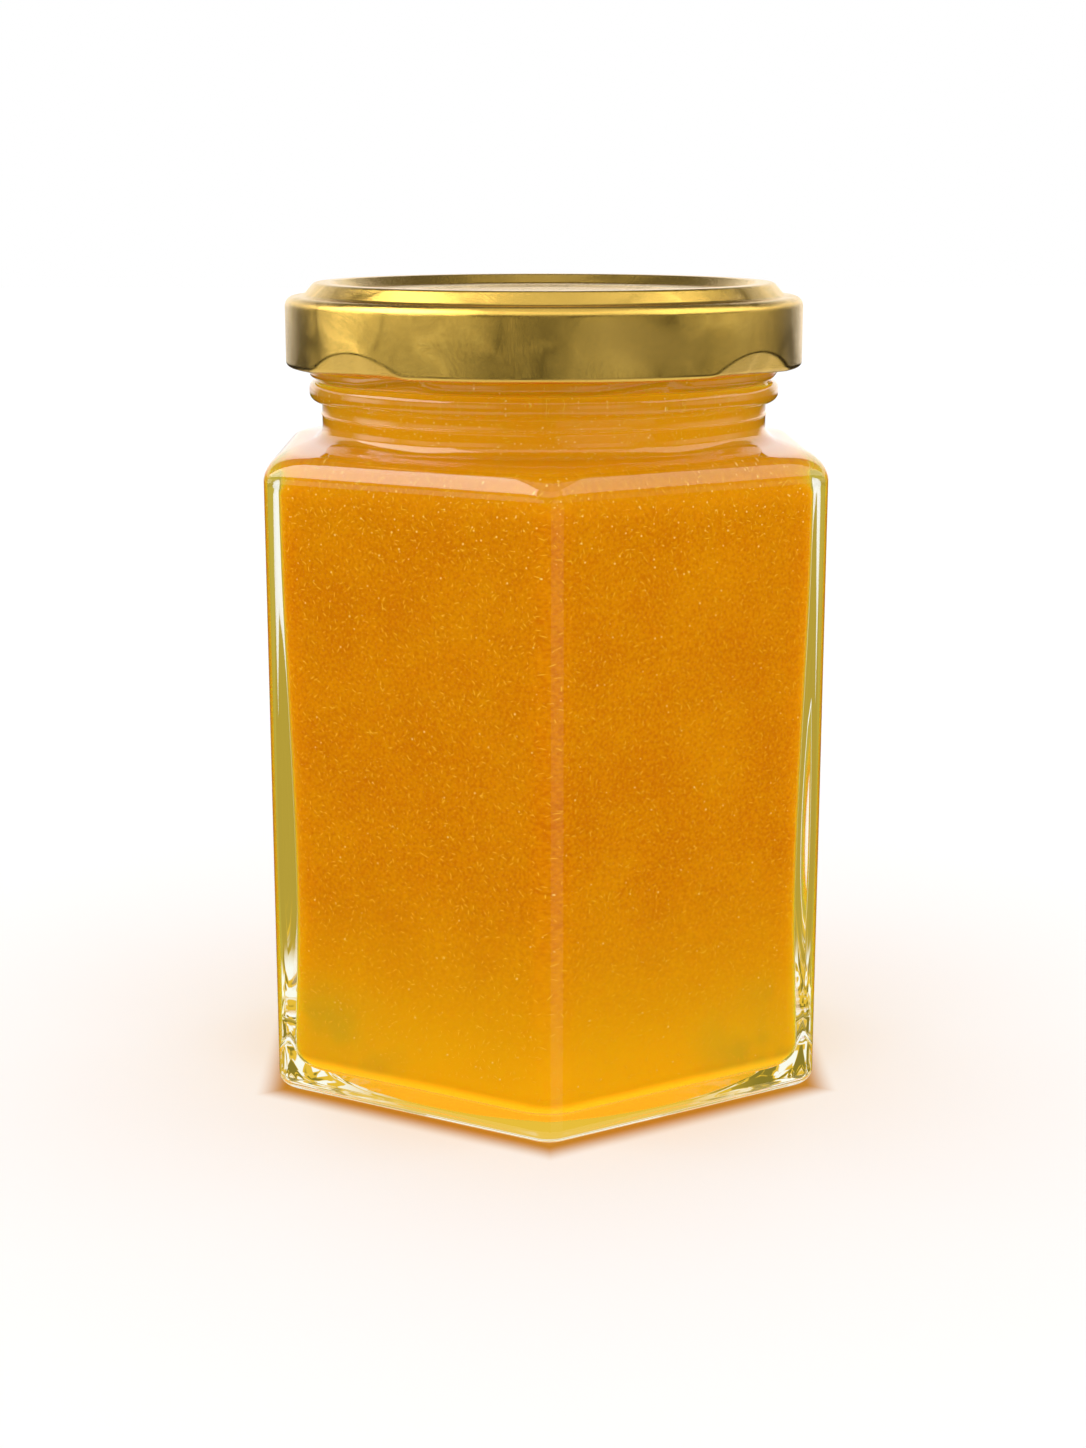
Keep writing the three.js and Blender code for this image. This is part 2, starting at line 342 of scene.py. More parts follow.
class TurningTree:
    """Geometry Nodes tree that turns a profile into a closed shell with a hexagonal or round section.

    The profile arrives as a mesh of loose points, with the apothem in x, the height in z, and
    the corner radius and the wetted mark as point attributes.
    """

    def __init__(self, name: str, relief: Relief | None = None) -> None:
        """Builds the tree.

        Args:
            name: name of the tree.
            relief: returns the radius after surface relief is added, from the tree, the
                angle, the radius and the height.
        """
        build = TreeBuilder(name, "GeometryNodeTree")
        self.tree = build.tree
        profile = build.take("Profile", "Geometry")
        columns = build.take("Columns", "Int", 289)
        (crowding,) = build.numbers(crowding=0.6)
        dry = build.take("Finish", "Material")
        wet = build.take("Wetted Finish", "Material")

        rows = build.read("GeometryNodeAttributeDomainSize", {"Geometry": profile}, "Point Count")
        grid = build.node("GeometryNodeMeshGrid", {"Vertices X": columns, "Vertices Y": rows})
        index = build.read("GeometryNodeInputIndex")
        column = ((index + 0.5) / rows).floor()
        row = index - column * rows

        def at_row(value: NodeSocket, kind: str = "FLOAT") -> NodeSocket:
            """Value of the profile at this row."""
            links = {"Geometry": profile, "Value": value, "Index": row}
            return build.node("GeometryNodeSampleIndex", links, data_type=kind).outputs[0]

        def mark(name: str) -> NodeSocket:
            """Named point attribute."""
            kind = "GeometryNodeInputNamedAttribute"
            return build.node(kind, {"Name": name}, data_type="FLOAT").outputs[0]

        position = build.node("GeometryNodeInputPosition").outputs[0]
        apothem, _, height = build.axes(at_row(position, "FLOAT_VECTOR"))
        corner, wetted = (Number(build.tree, at_row(mark(name))) for name in ("corner", "wetted"))

        turn = column / (Number(build.tree, columns) - 1) * 6
        share = turn.modulo(1) * 2 - 1
        off = (share * (1 - crowding) + share**3 * crowding) * (SIXTH / 2)
        angle = (turn.floor() + 0.5) * SIXTH + off - math.pi / 2 - SIXTH / 2
        radius = self._section(off.abs(), apothem, corner)
        if relief:
            radius = relief(build, angle, radius, height)

        point = build.node(
            "ShaderNodeCombineXYZ", {0: radius * angle.cos(), 1: radius * angle.sin(), 2: height}
        ).outputs[0]
        inner = Number(build.tree, mark("wetted")) > 0.99
        shell = grid.outputs["Mesh"]
        stored = {"data_type": "FLOAT", "domain": "POINT"}
        for kind, links, settings in (
            ("StoreNamedAttribute", {"Name": "wetted", "Value": wetted}, stored),
            ("SetPosition", {"Position": point}, {}),
            ("MergeByDistance", {"Distance": 2e-6}, {}),
            ("SetShadeSmooth", {}, {}),
            ("SetMaterial", {"Material": dry}, {}),
            ("SetMaterial", {"Selection": inner, "Material": wet}, {}),
        ):
            node = build.node("GeometryNode" + kind, {"Geometry": shell} | links, **settings)
            shell = node.outputs[0]
        build.give("Shell", "Geometry", shell)

    @staticmethod
    def _section(off: Number, apothem: Number, corner: Number) -> Number:
        """Distance from the axis to a hexagon with rounded corners.

        Args:
            off: angle from the nearest corner, not negative.
            apothem: distance of the flat sides.
            corner: radius of the corners.

        Returns:
            The distance at that angle.
        """
        side = SIXTH / 2
        centre = (apothem - corner) / math.cos(side)
        across = corner * math.sin(side)
        tangent = across.calculate("ARCTAN2", across, centre + corner * math.cos(side))
        sideways = centre * off.sin()
        curved = centre * off.cos() + (corner * corner - sideways * sideways).at_least(0).sqrt()
        flat = apothem / (side - off).cos()
        return (off > tangent).choose(flat, curved)

    def turn(
        self,
        name: str,
        stations: list[Station],
        columns: int,
        crowding: float,
        finish: Material,
        wetted: Material | None = None,
    ) -> Object:
        """Turns a profile.

        Args:
            name: name of the new piece.
            stations: the profile, starting and ending on the axis, outer face first.
            columns: places round the axis.
            crowding: 0 for even places, 1 for places crowded at the corners.
            finish: material of the shell.
            wetted: material of the stations marked as wetted.

        Returns:
            The closed piece as a plain mesh.
        """
        mesh = bpy.data.meshes.new(name)
        mesh.from_pydata([(s.apothem, 0, s.height) for s in stations], [], [])
        for label, values in {
            "corner": [s.corner for s in stations],
            "wetted": [float(s.wetted) for s in stations],
        }.items():
            mesh.attributes.new(label, "FLOAT", "POINT").data.foreach_set("value", values)
        values = {
            "Columns": columns + 1,
            "Crowding": crowding,
            "Finish": finish,
            "Wetted Finish": wetted or finish,
        }
        return run_tree(name, mesh, self.tree, values)


# Materials


class FinishBuilder(Nodes):
    """A new material with its own Principled shader, and short ways to feed it."""

    def __init__(self, name: str) -> None:
        """Makes the material and clears its tree."""
        self.material = bpy.data.materials.new(name)
        self.material.use_nodes = True
        super().__init__(self.material.node_tree)
        self.tree.nodes.clear()
        self.output = self.tree.nodes.new("ShaderNodeOutputMaterial")
        self.shader = self.tree.nodes.new("ShaderNodeBsdfPrincipled")
        self.join(self.shader.outputs[0], self.output.inputs["Surface"])

    def set(self, **values: object) -> None:
        """Sets constants on the shader's own sockets, by names such as coat_weight."""
        for key, value in values.items():
            self.shader.inputs[titled(key)].default_value = value

    def feed(self, name: str, source: NodeSocket | Number) -> None:
        """Joins a socket to one of the shader's inputs."""
        self.join(source, self.shader.inputs[name])

    def place(self) -> NodeSocket:
        """Object coordinates."""
        return self.node("ShaderNodeTexCoord").outputs["Object"]

    def along(self) -> list[Number]:
        """Object coordinates x, y and z in millimetres."""
        return [part * (1 / MM) for part in self.axes(self.place())]

    def group(self, tree: NodeTree, **values: object) -> Node:
        """Places a shared effect with its own values."""
        links = {titled(key): value for key, value in values.items()}
        return self.node("ShaderNodeGroup", links, node_tree=tree)

    def mix(self, share: Number, first: object, second: object) -> NodeSocket:
        """Mixes two colours or sockets: the first at a share of 0, the second at 1."""
        colours = [(*c, 1) if isinstance(c, tuple) else c for c in (first, second)]
        node = self.node("ShaderNodeMix", {0: share, 6: colours[0], 7: colours[1]}, data_type="RGBA")
        return node.outputs[2]


def mottle_tree() -> NodeTree:
    """Shared effect: fine grain over slow patches.

    Returns:
        A group with the inputs Place, Patch Size, Grain Size and Grain Share, both sizes in
        millimetres, and the output Mask from 0 to 1.
    """
    build = TreeBuilder("Mottle", "ShaderNodeTree")
    place = build.take("Place", "Vector")
    patch, grain, share = build.numbers(patch_size=8, grain_size=0.4, grain_share=0.5)
    patches, grains = (
        build.noise(place, 1 / (size * MM), detail=detail, roughness=0.55)
        for size, detail in ((patch, 2.0), (grain, 3.0))
    )
    mask = patches * (1 - share) + grains * share
    build.give("Mask", "Float", mask.rise(0.3, 0.7))
    return build.tree


def swirl_tree() -> NodeTree:
    """Shared effect: fine curved strokes, as wiping leaves on lacquered metal.

    Returns:
        A group with the inputs Place, Stroke Length and Stroke Width in millimetres and Curl
        in radians, and the outputs Strokes and Patches, both from 0 to 1.
    """
    build = TreeBuilder("Wiped Strokes", "ShaderNodeTree")
    place = build.take("Place", "Vector")
    length, width, curl = build.numbers(stroke_length=4, stroke_width=0.12, curl=3)
    slow = build.noise(place, 70.0, detail=1.0)
    turned = build.node(
        "ShaderNodeVectorRotate",
        {"Vector": place, "Axis": (0.55, 0.5, 0.67), "Angle": slow * curl},
        rotation_type="AXIS_ANGLE",
    )
    x, y, z = build.axes(turned.outputs[0])
    long, fine = 1 / (length * MM), 1 / (width * MM)
    drawn = build.node("ShaderNodeCombineXYZ", {0: x * long, 1: y * fine, 2: z * fine})
    strokes = build.noise(drawn.outputs[0], 1.0, detail=2.0, roughness=0.6)
    build.give("Strokes", "Float", strokes)
    build.give("Patches", "Float", build.noise(place, 120.0, detail=2.0))
    return build.tree


@dataclass(frozen=True)
class GlassFinish:
    """Clear moulded glass, or its inner face where honey wets it.

    Shadows and soft light pass straight through, so the honey behind is lit as it really is.
    After several bounces inside, the glass glows amber instead: painted light standing for the light
    thrown about inside. The pairs from amber_range on are heights and distances in millimetres.
    """

    name: str
    ior: float
    tint: Colour = (0.985, 0.995, 0.98)
    glancing: Colour | None = None
    glancing_glow: Colour = (0.07, 0.075, 0.012)
    trapped: Colour = (0.42, 0.28, 0.03)
    trapped_low: Colour = (0.78, 0.46, 0.03)
    sparkle: Colour = (0.95, 0.95, 0.88)
    gloom: Colour = (0.2, 0.13, 0.012)
    bounces: float = 2.5
    edge_on: Span = (0.4, 0.75)
    amber_range: Span = (5, 12)
    foot: Span = (7, 11)
    aside: Span = (10, 22)

    def make(self) -> Material:
        """Returns the material, with its glancing tint and a painted glow where it is seen nearly edge
        on.
        """
        finish = FinishBuilder(self.name)
        if self.glancing:
            edge_on = finish.read("ShaderNodeLayerWeight", {"Blend": 0.5}, "Facing")
            edge_on = edge_on.rise(*self.edge_on)
            finish.feed("Base Color", finish.mix(edge_on, self.tint, self.glancing))
            # Painted glow where the glass is seen nearly edge on.
            finish.feed("Emission Color", finish.mix(edge_on, (0, 0, 0), self.glancing_glow))
            finish.set(emission_strength=1.0)
        finish.set(base_color=(*self.tint, 1), roughness=0.0, transmission_weight=1.0, ior=self.ior)
        path = finish.node("ShaderNodeLightPath").outputs
        shadow, diffuse, bounces = (
            Number(finish.tree, path[name])
            for name in ("Is Shadow Ray", "Is Diffuse Ray", "Glossy Depth")
        )
        clear = finish.node("ShaderNodeBsdfTransparent", {"Color": (*self.tint, 1)})
        # Past a few glossy bounces the glass shows this painted amber glow in place of the light
        # trapped inside.
        trapped_glow = finish.node("ShaderNodeEmission", {"Color": self._trapped_light(finish)})
        seen = finish.shader
        for share, other in ((shadow.at_least(diffuse), clear), (bounces > self.bounces, trapped_glow)):
            shaders = {0: share, 1: seen.outputs[0], 2: other.outputs[0]}
            seen = finish.node("ShaderNodeMixShader", shaders)
        finish.join(seen.outputs[0], finish.output.inputs["Surface"])
        return finish.material

    def _trapped_light(self, finish: FinishBuilder) -> NodeSocket:
        """Colour of the painted glow that stands for light thrown about inside: amber, with painted
        glints and painted dark patches at the foot of the corners.
        """
        cell = finish.noise(finish.place(), 0.24 / MM, detail=1.0, distortion=1.0)
        x, _, height = finish.along()
        cornered = height.fall(*self.foot) * x.abs().rise(*self.aside)
        amber = finish.mix(height.rise(*self.amber_range), self.trapped_low, self.trapped)
        amber = finish.mix(cornered * cell.rise(0.52, 0.56), amber, self.sparkle)
        return finish.mix(cornered * cell.fall(0.4, 0.45), amber, self.gloom)


@dataclass(frozen=True)
class HoneyFinish:
    """Cloudy set honey: deep orange in the middle, with painted light: yellower low down, paler in the
    neck and glowing underneath.

    The yellower lower part and the glow stand for the light that comes through the base and the thin
    layer over it; the paler neck stands for light passing through the honey there.
    Each pair of numbers is a range of heights or distances in millimetres.
    """

    deep: Colour = (0.64, 0.19, 0.0005)
    light: Colour = (0.78, 0.315, 0.001)
    low: Colour = (0.86, 0.43, 0.002)
    neck: Colour = (0.88, 0.4, 0.006)
    olive: Colour = (0.56, 0.36, 0.012)
    glow: Colour = (0.85, 0.48, 0.01)
    low_glow: float = 0.1
    under_glow: Colour = (0.52, 0.31, 0.01)
    lit_low_part: Span = (2, 34)
    lit_neck_part: Span = (74, 84)
    veiled_sides: Span = (12, 30)
    veiled_part: Span = (5, 19)
    glowing_part: Span = (2.6, 18)
    underside: Span = (3.4, 4.8)

    def make(self, mottle: NodeTree) -> Material:
        """Returns the material, given the shared grain."""
        finish = FinishBuilder("Set honey")
        x, _, height = finish.along()
        grain = finish.group(
            mottle, place=finish.place(), patch_size=10.0, grain_size=0.4, grain_share=0.7
        )
        mask = Number(finish.tree, grain.outputs["Mask"])
        body = finish.mix(mask, self.deep, self.light)
        # Painted light: paler and yellower low down, where light comes through the base.
        lower = finish.mix(height.fall(*self.lit_low_part) * 0.9, body, self.low)
        # Painted light: paler in the neck.
        colour = finish.mix(height.rise(*self.lit_neck_part) * 0.8, lower, self.neck)
        veil = finish.noise(finish.place(), 0.11 / MM, detail=2.0).rise(0.4, 0.6)
        cornered = x.abs().rise(*self.veiled_sides) * height.fall(*self.veiled_part)
        colour = finish.mix(cornered * (0.35 + 0.65 * veil), colour, self.olive)
        finish.feed("Base Color", colour)
        through = finish.mix(height.fall(*self.glowing_part) * self.low_glow, (0, 0, 0), self.glow)
        under = finish.mix(height.fall(*self.underside), through, self.under_glow)
        finish.feed("Emission Color", under)
        finish.set(
            roughness=0.6,
            ior=1.0,
            specular_ior_level=0.0,
            subsurface_weight=1.0,
            subsurface_radius=(1.0, 0.45, 0.08),
            subsurface_scale=0.004,
            emission_strength=1.0,
        )
        return finish.material


@dataclass(frozen=True)
class FleckFinish:
    """Pale sugar crystals or tiny bubbles against the glass."""

    name: str
    colour: Colour

    def make(self) -> Material:
        """Returns the material."""
        finish = FinishBuilder(self.name)
        finish.set(base_color=(*self.colour, 1), roughness=0.5, ior=1.0, specular_ior_level=0.0)
        return finish.material


@dataclass(frozen=True)
class GoldFinish:
    """Satin gold lacquer on tinplate, with fine curved strokes."""

    gold: Colour = (0.88, 0.58, 0.125)
    deep: Colour = (0.8, 0.5, 0.09)
    stroke_length: float = 3.5
    stroke_width: float = 0.16
    curl: float = 4.0

    def make(self, swirl: NodeTree) -> Material:
        """Returns the material, given the shared strokes."""
        finish = FinishBuilder("Gold lacquer")
        marks = finish.group(
            swirl,
            place=finish.place(),
            stroke_length=self.stroke_length,
            stroke_width=self.stroke_width,
            curl=self.curl,
        )
        strokes, patches = (Number(finish.tree, marks.outputs[i]) for i in (0, 1))
        finish.feed("Base Color", finish.mix(strokes.rise(0.35, 0.65), self.deep, self.gold))
        finish.feed("Roughness", 0.13 + 0.08 * patches + 0.1 * strokes)
        bump = finish.node("ShaderNodeBump", {"Height": strokes, "Strength": 0.3, "Distance": 0.00004})
        finish.feed("Normal", bump.outputs[0])
        finish.set(metallic=1.0)
        return finish.material


@dataclass(frozen=True)
class PaperFinish:
    """Plain white sweep, with a thin painted rim round the foot of the jar: amber shadow on the paper
    and an amber glow just under the foot.
    """

    white: Colour = (0.97, 0.97, 0.97)
    rim: Colour = (0.56, 0.26, 0.03)
    amber: Colour = (0.95, 0.62, 0.2)
    rim_inside: float = 33.8
    rim_outside: float = 38.0
    lit_width: float = 3.0
    glow: float = 0.3

    def make(self) -> Material:
        """Returns the material."""
        finish = FinishBuilder("White sweep")
        x, y, _ = finish.along()
        slanting = x.abs() * math.cos(SIXTH) + y.abs() * math.sin(SIXTH)
        reach = x.abs().at_least(slanting)
        # Painted amber shadow in a rim round the foot, fading out to white.
        away = reach.rise(self.rim_inside, self.rim_outside)
        finish.feed("Base Color", finish.mix(away, self.rim, self.white))
        # Painted amber glow just under the foot.
        under = reach.rise(self.rim_inside - self.lit_width, self.rim_inside)
        finish.feed("Emission Color", finish.mix(under, self.amber, (0, 0, 0)))
        finish.set(roughness=0.95, specular_ior_level=0.0, emission_strength=self.glow)
        return finish.material


# The jar


@dataclass
class Shoulder:
    """Way from the upright sides to the upright neck: a round, a straight slope and a hollow."""

    rounding: float = 3.2 * MM
    hollow: float = 1.6 * MM
    slope: float = 12.0

    def stations(
        self, apothem: float, corner: float, start: float, neck: float, wetted: bool = False
    ) -> list[Station]:
        """Stations from side to neck.

        Args:
            apothem: distance of the flat sides.
            corner: radius of the upright corners.
            start: height where the round begins.
            neck: radius of the neck.
            wetted: whether honey touches it.

        Returns:
            Stations upwards, whose corners open out until the section is round.
        """
        slope = math.radians(self.slope)
        round_end = apothem - self.rounding * (1 - math.sin(slope))
        hollow_start = neck + self.hollow * (1 - math.sin(slope))
        top = (
            start
            + (self.rounding + self.hollow) * math.cos(slope)
            + (round_end - hollow_start) * math.tan(slope)
        )
        outer = arc((apothem - self.rounding, start), self.rounding, 0, 90 - self.slope, 14)
        inner = arc((neck + self.hollow, top), self.hollow, 270 - self.slope, 180, 8)
        steps = 10
        (x0, z0), (x1, z1) = outer[-1], inner[0]
        straight = list(zip(between(x0, x1, steps), between(z0, z1, steps)))
        found = []
        for x, z in outer + straight + inner:
            inward = (apothem - x) / (apothem - neck)
            blend = corner + (neck - corner) * max(inward, 0)
            found.append(Station(x, blend, z, wetted))
        return found


@dataclass
class Cavity:
    """Inside of the jar."""

    apothem: float = 34.8 * MM
    corner: float = 2.6 * MM
    wall_top: float = 2.8 * MM
    wall_waist: float = 4.1 * MM
    waist: float = 25 * MM
    shoulder_start: float = 77.0 * MM
    mouth: float = 26.4 * MM
    floor_edge: float = 2.4 * MM
    floor_centre: float = 4.0 * MM
    floor_round: float = 3.2 * MM
    shoulder: Shoulder = field(default_factory=Shoulder)

    def wall(self, height: float) -> float:
        """Distance of the inner flat side from the axis at a height."""
        above = height > self.waist
        span = self.shoulder_start - self.waist if above else self.waist * 1.3
        off = max(-1.0, min(1.0, (height - self.waist) / span))
        share = math.sin(off * math.pi / 2) ** 2
        return self.apothem - self.wall_waist - (self.wall_top - self.wall_waist) * share

    def stations(self, outwards: float) -> list[Station]:
        """Profile from the middle of the floor up to the neck.

        Args:
            outwards: how far the whole profile is moved into the glass.

        Returns:
            Stations upwards, all marked as wetted.
        """
        heel_top = self.floor_edge + self.floor_round
        low_wall = self.wall(heel_top)
        found = [
            ring(0, self.floor_centre, True),
            ring(12 * MM, self.floor_centre - 0.25 * MM, True),
            ring(23 * MM, self.floor_edge + 0.5 * MM, True),
        ]
        heel = arc((low_wall - self.floor_round, heel_top), self.floor_round, -90, 0, 10)
        found += [Station(x, self.corner + 0.6 * (heel_top - z), z, True) for x, z in heel]
        levels = between(heel_top, self.shoulder_start, 24)
        found += [Station(self.wall(z), self.corner, z, True) for z in levels]
        found += self.shoulder.stations(
            self.wall(self.shoulder_start), self.corner, self.shoulder_start, self.mouth, True
        )
        return self._moved(found, outwards)

    @staticmethod
    def _moved(stations: list[Station], outwards: float) -> list[Station]:
        """The profile moved away from the inside, square to itself."""
        moved = []
        for i, s in enumerate(stations):
            before, after = stations[max(i - 1, 0)], stations[min(i + 1, len(stations) - 1)]
            run, rise = after.apothem - before.apothem, after.height - before.height
            length = math.hypot(run, rise)
            apothem = s.apothem + outwards * rise / length if s.apothem else 0.0
            corner = apothem if s.corner >= s.apothem else s.corner
            moved.append(Station(apothem, corner, s.height - outwards * run / length, True))
        return moved


@dataclass(frozen=True)
class Threads:
    """Ridges that run level, then climb; angles are in degrees."""

    count: float = 6.0
    first: float = -124.0
    level: float = 45.0
    rise: float = 42.0
    low: float = 91.2 * MM
    climb: float = 2.6 * MM
    half: float = 1.15 * MM
    height: float = 1.05 * MM


@dataclass
class GlassJar:
    """The glass: outside, neck with bead and threads, rim and inside."""

    apothem: float = 34.8 * MM
    corner: float = 3.2 * MM
    heel: float = 2.0 * MM
    bearing: float = 27 * MM
    push_up: float = 1.2 * MM
    shoulder_start: float = 79.0 * MM
    neck: float = 28.75 * MM
    seam: float = 85.8 * MM
    seam_step: float = 0.16 * MM
    bead: float = 88.8 * MM
    bead_radius: float = 30.35 * MM
    bead_half: float = 1.25 * MM
    finish_radius: float = 29.2 * MM
    rim_top: float = 100.9 * MM
    rim_round: float = 1.1 * MM
    inner_clearance: float = 0.12 * MM
    honey_level: float = 94.6 * MM
    columns: int = 288
    crowding: float = 0.62
    cavity: Cavity = field(default_factory=Cavity)
    shoulder: Shoulder = field(default_factory=Shoulder)
    threads: Threads = Threads()

    def stations(self) -> list[Station]:
        """Profile from under the base, up the outside, over the rim and down the inside."""
        found = [
            ring(0, self.push_up),
            ring(15 * MM, self.push_up - 0.15 * MM),
            ring(24 * MM, 0.55 * MM),
            ring(26.4 * MM, 0.06 * MM),
            ring(self.bearing, 0),
            ring(self.bearing + 1 * MM, 0),
        ]
        centre = (self.apothem - self.heel, self.heel)
        found += [Station(x, self.corner, z) for x, z in arc(centre, self.heel, -90, 0, 12)]
        low, high = self.heel, self.shoulder_start
        guard = 0.1 * MM
        levels = [low + guard, *between(low, high, 12), high - guard]
        found += [Station(self.apothem, self.corner, z) for z in levels]
        found += self.shoulder.stations(self.apothem, self.corner, high, self.neck)
        for part in range(9):
            swell = math.sin(math.pi * part / 8) ** 2 * self.seam_step
            found.append(ring(self.neck + swell, self.seam + (part - 4) * 0.06 * MM))
        found += self._bead()
        found += self._finish()
        inside = self.cavity.stations(self.inner_clearance)
        mouth = self.cavity.mouth + self.inner_clearance
        inside += [ring(mouth, self.honey_level, True), ring(mouth, self.honey_level + 0.1 * MM)]
        return found + inside[::-1]

    def _bead(self) -> list[Station]:
        """Ring under the threads, with a small hollow above and below it."""
        foot, top = self.bead - self.bead_half, self.bead + self.bead_half
        outline = rounded(
            [
                (self.neck, foot - 1.2 * MM, 0),
                (self.neck, foot - 0.1 * MM, 0.3 * MM),
                (self.bead_radius, foot, 1.1 * MM),
                (self.bead_radius, top, 1.1 * MM),
                (self.finish_radius, top + 0.1 * MM, 0.3 * MM),
                (self.finish_radius, top + 0.6 * MM, 0),
            ],
            8,
        )
        return [ring(x, z) for x, z in outline]

    def _finish(self) -> list[Station]:
        """Upright band that carries the threads, and the rim."""
        low = self.bead + self.bead_half + 0.6 * MM
        high = self.rim_top - self.rim_round
        rows = int((high - low) / (0.2 * MM))
        found = [ring(self.finish_radius, z) for z in between(low, high, rows)]
        mouth = self.cavity.mouth
        outer = arc((self.finish_radius - self.rim_round, high), self.rim_round, 0, 90, 8)
        inner = arc((mouth + self.rim_round, high), self.rim_round, 90, 180, 8)
        return found + [ring(x, z) for x, z in outer + inner]

    def _relief(self, build: TreeBuilder, angle: Number, radius: Number, height: Number) -> Number:
        """Adds the thread ridges: each runs level, then climbs, and tapers at both ends."""
        count, first, level, climb_turn, low, climb, half, depth, band = build.numbers(
            **asdict(self.threads), band=self.finish_radius
        )
        degrees = angle * (180 / math.pi) - first
        pitch = 360 / count
        total = level + climb_turn
        relief: Number | None = None
        for earlier in (0, 1):
            turn = degrees.modulo(pitch) + pitch * earlier
            centre = low + climb * ((turn - level) / climb_turn).at_least(0)
            start = turn.rise(0, 7)
            present = start * turn.fall(total - 8, total)
            width = half * (0.25 + 0.75 * start)
            off = (height - centre - half * 0.6 * (1 - start)).abs()
            ridge = depth * present * off.fall(width * 0.3, width)
            relief = ridge if relief is None else relief.at_least(ridge)
        margin = 0.6 * MM
        outside = (radius > band - margin) * (1 - (radius > band + margin))
        above_bead = height.rise(89.5 * MM, 89.9 * MM)
        return radius + relief * outside * above_bead

    def make(self, glass: Material, wetted: Material) -> Object:
        """Builds the piece.

        Args:
            glass: material of the outside.
            wetted: material of the inside, where honey touches it.

        Returns:
            The glass as one closed mesh.
        """
        tree = TurningTree("Turned glass", self._relief)
        return tree.turn("fine_glass", self.stations(), self.columns, self.crowding, glass, wetted)


@dataclass
class Honey:
    """The filling, up to a level hidden behind the lid."""

    level: float = 94.6 * MM
    reach: float = 0.06 * MM
    columns: int = 192
    crowding: float = 0.5
    cavity: Cavity = field(default_factory=Cavity)

    def make(self, honey: Material) -> Object:
        """Returns the filling, which reaches just into the wall."""
        sides = self.cavity.stations(self.reach)
        radius = self.cavity.mouth + self.reach
        stations = sides + [
            ring(radius, self.level - 1 * MM),
            ring(radius, self.level),
            ring(radius - 0.6 * MM, self.level - 0.3 * MM),
            ring(0, self.level - 0.4 * MM),
        ]
        tree = TurningTree("Turned honey")
        return tree.turn("fine_honey", stations, self.columns, self.crowding, honey)


class FleckTree:
    """Geometry Nodes tree that lays small flat flecks on a surface, turned at random."""

    def __init__(self) -> None:
        """Builds the tree."""
        build = TreeBuilder("Laid flecks", "GeometryNodeTree")
        self.tree = build.tree
        surface = build.take("Surface", "Geometry")
        seed = build.take("Seed", "Int", SEED)
        density, crowding, crowd_low, crowd_high, length, width, thickness = build.numbers(
            density=1e5,
            crowding=2,
            crowd_low=0.068,
            crowd_high=0.078,
            length=0.5 * MM,
            width=0.1 * MM,
            thickness=0.06 * MM,
        )
        finish = build.take("Finish", "Material")

        position = build.node("GeometryNodeInputPosition").outputs[0]
        height = build.axes(position)[2]
        crowded = density * (1 + crowding * height.rise(crowd_low, crowd_high))
        spots = build.node(
            "GeometryNodeDistributePointsOnFaces",
            {"Mesh": surface, "Density": crowded, "Seed": seed},
        )
        fleck = build.node("GeometryNodeMeshUVSphere", {"Segments": 6, "Rings": 2, "Radius": 0.5})
        spin = self._random(build, 0.0, math.tau, 1)
        turned = build.node("ShaderNodeCombineXYZ", {2: spin})
        spinning = build.node("FunctionNodeEulerToRotation", {0: turned.outputs[0]})
        facing = build.node(
            "FunctionNodeRotateRotation",
            {0: spots.outputs["Rotation"], 1: spinning.outputs[0]},
            rotation_space="LOCAL",
        )
        growth = self._random(build, 0.45, 1.3, 2)
        scale = build.node(
            "ShaderNodeCombineXYZ", {0: length * growth, 1: width * growth, 2: thickness}
        )
        laid = build.node(
            "GeometryNodeInstanceOnPoints",
            {"Points": spots.outputs["Points"], "Instance": fleck.outputs["Mesh"]}
            | {"Rotation": facing.outputs[0], "Scale": scale.outputs[0]},
        )
        real = build.node("GeometryNodeRealizeInstances", {0: laid.outputs[0]})
        done = build.node("GeometryNodeSetMaterial", {"Geometry": real.outputs[0], "Material": finish})
        build.give("Flecks", "Geometry", done.outputs[0])

    @staticmethod
    def _random(build: TreeBuilder, low: float, high: float, stream: int) -> Number:
        """Random number for each fleck."""
        node = build.node("FunctionNodeRandomValue", data_type="FLOAT")
        sockets = {s.name: s for s in node.inputs if s.enabled}
        sockets["Min"].default_value = low
        sockets["Max"].default_value = high
        sockets["Seed"].default_value = SEED + stream
        return Number(build.tree, next(s for s in node.outputs if s.enabled))


@dataclass
class Flecks:
    """Flecks of one kind, lying on the honey just inside the glass."""

    name: str
    per_square_millimetre: float
    crowding: float
    length: float
    width: float
    thickness: float = 0.07 * MM
    seed: int = SEED
    lowest: float = 5.0 * MM

    def make(self, honey: Object, tree: NodeTree, finish: Material) -> Object:
        """Lays the flecks.

        Args:
            honey: the finished filling.
            tree: the tree that lays them.
            finish: their material.

        Returns:
            All flecks as one plain mesh.
        """
        shape = bmesh.new()
        shape.from_mesh(honey.data)
        inside = [
            face
            for face in shape.faces
            if face.calc_center_median().z < self.lowest or abs(face.normal.z) > 0.95
        ]
        bmesh.ops.delete(shape, geom=inside, context="FACES")
        mesh = bpy.data.meshes.new(self.name)
        shape.to_mesh(mesh)
        shape.free()
        mesh.materials.clear()
        values = {
            "Seed": self.seed,
            "Density": self.per_square_millimetre / MM**2,
            "Crowding": self.crowding,
            "Length": self.length,
            "Width": self.width,
            "Thickness": self.thickness,
            "Finish": finish,
        }
        return run_tree(self.name, mesh, tree, values)


@dataclass(frozen=True)
class Lugs:
    """Facets pressed in, one pair at each of two angles; angles are in degrees."""

    first: float = -135.7
    second: float = 96.5
    half: float = 15.0
    height: float = 2.9 * MM
    slope: float = 0.46


